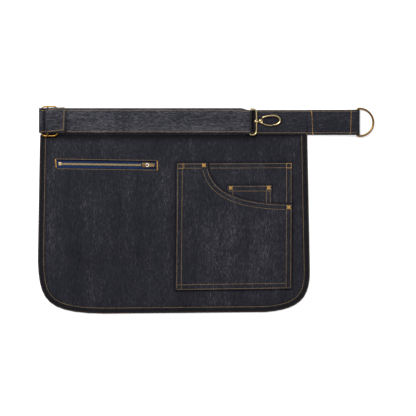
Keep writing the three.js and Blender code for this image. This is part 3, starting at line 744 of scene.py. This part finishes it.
# %% Round the metal
def cast(node_name, piece_name, body, made, slot, voxel, passes=6, fuller=0.0):
    """A metal piece, melted round from its solid and made fuller where the photograph shows it so."""
    bm = merged_copy(node_name)
    piece = new_object(piece_name, bm)
    remesh = piece.modifiers.new("melt", "REMESH")
    remesh.mode, remesh.voxel_size = "VOXEL", voxel
    bpy.context.view_layer.update()
    evaluated = piece.evaluated_get(bpy.context.evaluated_depsgraph_get())
    melted = bmesh.new()
    melted.from_mesh(evaluated.to_mesh())
    evaluated.to_mesh_clear()
    whole = melted.calc_volume()
    for _ in range(passes):
        bmesh.ops.smooth_vert(
            melted, verts=melted.verts, factor=0.5, use_axis_x=True, use_axis_y=True, use_axis_z=True
        )
    melted.normal_update()
    skin = sum(f.calc_area() for f in melted.faces)
    lost = max(0, whole - melted.calc_volume()) / skin + fuller
    for vert in melted.verts:
        vert.co += vert.normal * lost
    for face in melted.faces:
        face.smooth = True
    piece.modifiers.clear()
    melted.to_mesh(piece.data)
    melted.free()
    finish_piece(piece, body, made, slot, node_name)
    print(piece_name, "faces:", len(piece.data.polygons))


cast("d_ring", "brass_d_ring", "d_ring", RING_BRASS, "antique_brass", 0.55 * MM, fuller=0.2 * MM)
cast("strap_slider", "brass_slider", "apron", RING_BRASS, "antique_brass", 0.5 * MM)
cast("hook_ring", "brass_hook_ring", "hook_ring", HOOK_BRASS, "hook_brass", 0.45 * MM, fuller=0.1 * MM)
cast("hook_body", "brass_hook", "hook", HOOK_BRASS, "hook_brass", 0.35 * MM, 4)
cast("hook_gate", "brass_gate", "gate", HOOK_BRASS, "hook_brass", 0.35 * MM, 4)
cast("zip_slider", "zip_slider_body", "apron", SLIDER_METAL, "zip_metal", 0.3 * MM, 3)
cast("zip_end_stop", "zip_stop", "apron", ZIP_METAL, "zip_metal", 0.3 * MM, 3)

# %% [markdown]
# ## The zip
# The tape is a thin woven strip. The closed chain is two rows of teeth that sit between each other, so one
# small block is repeated, every other one shifted to the other side.

# %% Make the tape and the teeth
TOOTH_PITCH = 1.25 * MM
TOOTH_SHIFT = 0.55 * MM
TOOTH_SIZE = (1.05 * MM, 3.8 * MM, 1.8 * MM, 1)
ZIP_LEAN = math.radians(-0.85)
tape_bm = cut_sheet("zip_tape", 2 * MM, 0, 0.0)
tape_area = area_of(tape_bm)
TAPE_SHADOW_MARKS = [
    # Painted shadow under the slit's upper edge, at its two ends and under its lower edge.
    (mm_line((-304, 101), (-100, 98)), 4.5 * MM, 0.95),
    (mm_line((-303.5, 92), (-303, 84)), 3 * MM, 0.9),
    (mm_line((-100.5, 90), (-100.5, 82)), 4 * MM, 0.9),
    (mm_line((-303, 85), (-100, 82)), 2.5 * MM, 0.5),
]
paint_shade_beside_edges(tape_bm, TAPE_SHADOW_MARKS)
tape = new_object("zip_tape_cloth", tape_bm)
thicken(tape, 0.7 * MM)
finish_piece(tape, "apron", TAPE, "zip_tape", "zip_tape")

chain_low, chain_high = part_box("zip_chain")
chain_middle = (chain_low + chain_high) / 2
chain_half = (chain_high.x - chain_low.x) / 2
chain_turn = Matrix.Translation(chain_middle) @ Matrix.Rotation(ZIP_LEAN, 4, "Z")
teeth_bm = bmesh.new()
for i in range(int(2 * chain_half / TOOTH_PITCH) - 1):
    shift = TOOTH_SHIFT if i % 2 else -TOOTH_SHIFT
    place = Matrix.Translation((-chain_half + (i + 1) * TOOTH_PITCH, shift, 0))
    bmesh.ops.create_cube(teeth_bm, size=1, matrix=chain_turn @ place @ Matrix.Diagonal(TOOTH_SIZE))
teeth = new_object("zip_teeth", teeth_bm, smooth=False)
tooth_edge = teeth.modifiers.new("tooth_edge", "BEVEL")
tooth_edge.width, tooth_edge.segments = 0.2 * MM, 1
finish_piece(teeth, "apron", ZIP_METAL, "zip_metal", "zip_chain")
print("teeth:", len(teeth.data.polygons) // 6)

# %% [markdown]
# ### The pull tab
# The puller is stamped from one strip: a round eye that hangs in the slider's arch, coloured near white as a
# painted highlight, and a darker tongue with a small rim. The eye is a disc with its inset middle deleted,
# and the tongue a box with rounded corners.

# %% Make the pull tab
EYE_OUTER, EYE_HOLE, EYE_HALF = 3.7 * MM, 1.95 * MM, 0.8 * MM
TAB_LONG, TAB_WIDE, TAB_THICK = 11.4 * MM, 6.6 * MM, 1.2 * MM
RIM_OUTER, RIM_HOLE, RIM_HALF = 1.5 * MM, 0.9 * MM, 0.75 * MM
joints = {joint["name"]: joint for joint in frame["record"]["behaviour"]["joints"]}
pivot = joints["zip_puller_hinge"]["pos_m"]
pull_turn = Matrix.Translation(pivot) @ Matrix.Rotation(ZIP_LEAN, 4, "Z")


def along_pull(x, z=0.0):
    """A place on the pull, so far past its pivot."""
    return pull_turn @ Matrix.Translation((x, 0, z))


def ring_plate(outer, hole, place, half, sides=28):
    """A flat ring: a disc, inset to its hole, with the middle deleted and a wall given to it."""
    bm = bmesh.new()
    bmesh.ops.create_circle(bm, cap_ends=True, radius=outer, segments=sides, matrix=place)
    disc = bm.faces[:]
    bmesh.ops.inset_region(bm, faces=disc, thickness=outer - hole, use_boundary=True)
    middle = min(bm.faces, key=lambda f: (f.calc_center_median() - place.translation).length)
    bmesh.ops.delete(bm, geom=[middle], context="FACES")
    walled = bmesh.ops.extrude_face_region(bm, geom=bm.faces[:])
    raised = [v for v in walled["geom"] if isinstance(v, bmesh.types.BMVert)]
    bmesh.ops.translate(bm, verts=raised, vec=(0, 0, 2 * half))
    bmesh.ops.recalc_face_normals(bm, faces=bm.faces)
    return bm


eye_bm = ring_plate(EYE_OUTER, EYE_HOLE, along_pull(2.6 * MM, -EYE_HALF), EYE_HALF)
eye = new_object("zip_pull_eye", eye_bm, smooth=False)
rounded(eye, 0.45 * MM, 35)
finish_piece(eye, "puller", EYE_HIGHLIGHT_METAL, "zip_metal", "zip_puller")
tab_bm = bmesh.new()
tab_size = Matrix.Diagonal((TAB_LONG, TAB_WIDE, TAB_THICK, 1))
bmesh.ops.create_cube(tab_bm, size=1, matrix=along_pull(11.6 * MM) @ tab_size)
upright = [e for e in tab_bm.edges if abs((e.verts[0].co - e.verts[1].co).normalized().z) > 0.9]
bmesh.ops.bevel(
    tab_bm, geom=upright, offset=1.5 * MM, segments=3, profile=0.5, affect="EDGES", material=-1
)
tab = new_object("zip_pull_tab", tab_bm, smooth=False)
rounded(tab, 0.25 * MM, 35)
finish_piece(tab, "puller", TAB_METAL, "zip_metal")
rim_bm = ring_plate(RIM_OUTER, RIM_HOLE, along_pull(14.6 * MM, -0.7 * MM), RIM_HALF, 16)
finish_piece(new_object("zip_pull_rim", rim_bm, smooth=False), "puller", SLIDER_METAL, "zip_metal")
print("pull's pivot, mm:", [round(c / MM, 1) for c in pivot])

# %% [markdown]
# ## Stitching
# A stitch is a short thick thread between two needle holes. One small bead, stretched along the seam, is
# repeated at the stitch length and laid on the cloth under it, so every seam follows the folds.

# %% Lay stitches along a line
STITCH = 3.3 * MM
THREAD_WIDE = 0.8 * MM
STITCH_LIFT = 0.12 * MM
THREAD_FLAT = 0.36
BEAD_FACES = 24
BATCH = 40


def lay_thread(bm, start, end, wide, lift, share=0.84):
    """A bead stretched between two places. It fills a share of the way between them."""
    along = end - start
    turn = along.to_track_quat("X", "Z").to_matrix().to_4x4()
    middle = (start + end) / 2 + Vector((0, 0, lift))
    size = Matrix.Diagonal((along.length * share / 2, wide / 2, wide * THREAD_FLAT, 1))
    pole = Matrix.Rotation(math.pi / 2, 4, "Y")
    matrix = Matrix.Translation(middle) @ turn @ size @ pole
    bmesh.ops.create_uvsphere(bm, u_segments=6, v_segments=4, radius=1, matrix=matrix)


def gather(whole, part):
    """Moves a small bmesh into a large one. An operator is slow on a large one."""
    carrier = bpy.data.meshes.new("carrier")
    part.to_mesh(carrier)
    part.free()
    whole.from_mesh(carrier)
    bpy.data.meshes.remove(carrier)


def stitch(name, on, lines, made=TAN, wide=THREAD_WIDE):
    """One piece of stitches along several lines on a cloth piece."""
    whole = bmesh.new()
    tree = surface[on]
    for line in lines:
        pairs = walk(line, STITCH)
        for first in range(0, len(pairs), BATCH):
            part = bmesh.new()
            for a, b in pairs[first : first + BATCH]:
                a, b = a.copy(), b.copy()
                a.z, b.z = height_on(tree, a.x, a.y), height_on(tree, b.x, b.y)
                lay_thread(part, a, b, wide, STITCH_LIFT)
            gather(whole, part)
    count = len(whole.faces) // BEAD_FACES
    finish_piece(new_object(name, whole), "apron", made, "denim")
    print(name, "stitches:", count)


# %% [markdown]
# ### Hem, pockets, band and strap
# The hem is sewn twice, close to the edge and again at its inner fold. The pockets have the same pair of
# lines on every side, and the mouth's pair follows its curve.


# %% Sew the hem
HEM_SEAM, HEM_EDGE_SEAM = 11.4 * MM, 2.2 * MM
stitch("hem_stitches", "panel", [inset(hem_line, HEM_SEAM)])
stitch("hem_edge_stitches", "panel", [inset(hem_line, HEM_EDGE_SEAM)], BROWN)


# %% Sew the pockets
def side(a, b, distance, trim_start=0, trim_end=0):
    """A straight seam along one side, moved inwards and shortened at its ends. All in millimetres."""
    a, b = Vector(a[:2]), Vector(b[:2])
    long = (b - a).length
    ends = [a.lerp(b, trim_start * MM / long), a.lerp(b, 1 - trim_end * MM / long)]
    return inset(ends, distance * MM)


OUTER, INNER = 2.4, 11.6
TOP_OUTER, TOP_INNER = 1.9, 10.4
MOUTH_OUTER, MOUTH_INNER = 2.6 * MM, 11.4 * MM
mouth_start = (MOUTH_X, top_left.y)
front_lines = [
    side(mouth_top_left, low_left, OUTER, 2, 4),
    side(mouth_top_left, low_left, INNER, 2, 4),
    side(low_left, low_right, OUTER, 3, 3),
    side(low_left, low_right, INNER, 3, 12),
    side(low_right, right_split, OUTER, 3, 1),
    side(low_right, right_split, INNER, 3, 1),
    inset(mouth, -MOUTH_OUTER)[2:-1],
    inset(mouth, -MOUTH_INNER)[2:-1],
    side(mouth_start, top_left, TOP_OUTER, 9, 3),
    side(mouth_start, top_left, TOP_INNER, 12, 3),
]
stitch("mouth_pocket_stitches", "mouth_pocket", front_lines)
back_lines = [
    side(top_right, mouth_start, TOP_OUTER, 2, 3),
    side(top_right, mouth_start, TOP_INNER, 2, 5),
    side(right_split, top_right, OUTER, 3, 2),
    side(right_split, top_right, INNER, 3, 10),
]
stitch("patch_pocket_stitches", "patch_pocket", back_lines)
coin_right_foot, coin_left_foot = (coin_high.x, 14 * MM), (coin_low.x, 24 * MM)
coin_lines = [
    side(coin_high, coin_corner, 3, 3, 3),
    side(coin_high, coin_corner, 12.4, 3, 3),
    side(coin_right_foot, coin_high, 3.6, 0, 12),
    side(coin_right_foot, coin_high, 11.6, 0, 12),
    side(coin_corner, coin_left_foot, 11, 12, 0),
]
stitch("small_pocket_stitches", "small_pocket", coin_lines)

# %% Sew the band and the strap
strap_end = strap_high.x / MM - 4
SEWN_FROM = -285.0  # just past the strap's short end
LIFTS_AT = strap_end - 30  # from here the strap rises to the hook's ring
strap_lines = [
    mm_line((SEWN_FROM, 201.3), (LIFTS_AT, 201.3), (strap_end, 197.7)),
    mm_line((SEWN_FROM, 158.7), (LIFTS_AT, 158.7), (strap_end, 157.5)),
]
stitch("strap_stitches", "denim_strap", strap_lines)
band_top, band_bottom = band_high.y / MM, band_low.y / MM
LOOP_LEFT, LOOP_RIGHT = 214.3, 293.8
BAND_END = 305.0
PANEL_END = 204.3
band_lines = [
    mm_line((100, band_top - 3.1), (BAND_END, band_top - 3.1)),
    mm_line((-330, band_bottom + 4.4), (BAND_END, band_bottom + 4.4)),
]
stitch("band_stitches", "denim_waistband", band_lines)
box_lines = [
    mm_line((LOOP_LEFT, band_top - 1), (LOOP_LEFT + 1.6, band_bottom + 1)),
    mm_line((LOOP_LEFT - 0.9, band_top - 1), (LOOP_LEFT - 0.8, band_top - 11)),
    mm_line((LOOP_LEFT + 2.4, band_bottom + 5), (LOOP_LEFT + 2.5, band_bottom)),
    mm_line((LOOP_RIGHT, band_top - 1), (LOOP_RIGHT - 1.2, band_bottom + 1)),
    mm_line((PANEL_END, band_bottom + 5), (PANEL_END, band_bottom)),
]
stitch("band_gold_stitches", "denim_waistband", box_lines, GOLD, 0.95 * MM)

# %% [markdown]
# ### Bar tacks
# A bar tack is a dense zigzag that locks the end of a seam. The threads cross from side to side at a slant
# and lie over each other, which makes the small bright knots at the pocket corners.


# %% Sew the bar tacks
TACK_THREAD = 0.62 * MM
TACK_LIFT, TACK_STACK = 0.2 * MM, 0.15 * MM


def bar_tack(bm, tree, x, y, wide, tall, rows, lean):
    """Pairs of crossing threads. A narrow tack has few rows, and its threads stay almost parallel."""
    turn = Matrix.Rotation(lean, 2)
    leap = wide * 0.42 if rows > 3 else wide / rows * 0.3
    for i in range(rows):
        across = -wide / 2 + wide * (i + 0.5) / rows
        for slant in (-1, 1):
            ends = []
            for end in (-1, 1):
                out = max(-wide / 2, min(wide / 2, across + slant * end * leap))
                spot = turn @ Vector((out, end * tall / 2))
                ends.append(Vector((x + spot.x, y + spot.y, 0)))
            for end in ends:
                end.z = height_on(tree, end.x, end.y)
            lay_thread(bm, ends[0], ends[1], TACK_THREAD, TACK_LIFT + TACK_STACK * slant, 1.0)


def tack_piece(name, on, tacks):
    """Tacks on one cloth, each given in millimetres: its middle, size, rows and lean in degrees."""
    bm = bmesh.new()
    for x, y, wide, tall, rows, lean in tacks:
        bar_tack(bm, surface[on], x * MM, y * MM, wide * MM, tall * MM, rows, math.radians(lean))
    finish_piece(new_object(name, bm), "apron", GOLD, "denim")
    print(name, "tacks:", len(tacks))


tack_piece("mouth_tacks", "mouth_pocket", [(-4.2, 90.2, 9.5, 9, 5, 0), (167.8, 5.2, 9, 9, 5, 0)])
tack_piece("small_pocket_tacks", "small_pocket", [(50.2, 44, 9, 9, 5, 0), (127, 44.6, 9.5, 10, 5, 0)])
tack_piece("zip_tacks", "panel", [(-304.2, 93.8, 2.4, 20, 3, 6), (-98.6, 89.3, 2.4, 22, 3, 2)])
left_corner = [
    mm_line((-56.4, 92.8), (-44.8, 92.8)),
    mm_line((-44.9, 93), (-44.9, 84)),
    mm_line((-56.3, 84), (-44.8, 84)),
]
stitch("patch_corner_left", "mouth_pocket", left_corner, GOLD, MM)
right_corner = [
    mm_line((163, 94), (174, 94)),
    mm_line((172.8, 94), (172.8, 84.6)),
    mm_line((163, 84.6), (173, 84.6)),
    mm_line((163.4, 94), (163.4, 84.6)),
]
stitch("patch_corner_right", "patch_pocket", right_corner, GOLD, MM)
zip_lines = [mm_line((-303, 103), (-99, 99.9)), mm_line((-303, 83.2), (-99, 80.2))]
stitch("zip_stitches", "panel", zip_lines)

# %% Sew the strap's short end
end_lines = [
    mm_line((-333, 200.2), (-318, 201.6), (-286.2, 205.6)),
    mm_line((-286.6, 205.2), (-288.4, 160.2)),
    mm_line((-334, 158.2), (-316, 158.4), (-288.2, 161.4)),
]
stitch("short_end_stitches", "denim_strap", end_lines, PALE_GOLD, MM)

# %% [markdown]
# ## Table finish
# The table is matt white and glows a little, as the photograph's bare ground does.

# %% Finish
white, _ = material(
    "white_table",
    Base_Color=(0.9, 0.9, 0.9, 1),
    Roughness=0.9,
    Specular_IOR_Level=0.1,
    Emission_Color=(1, 1, 1, 1),
    Emission_Strength=0.45,
)
table.data.materials.append(white)
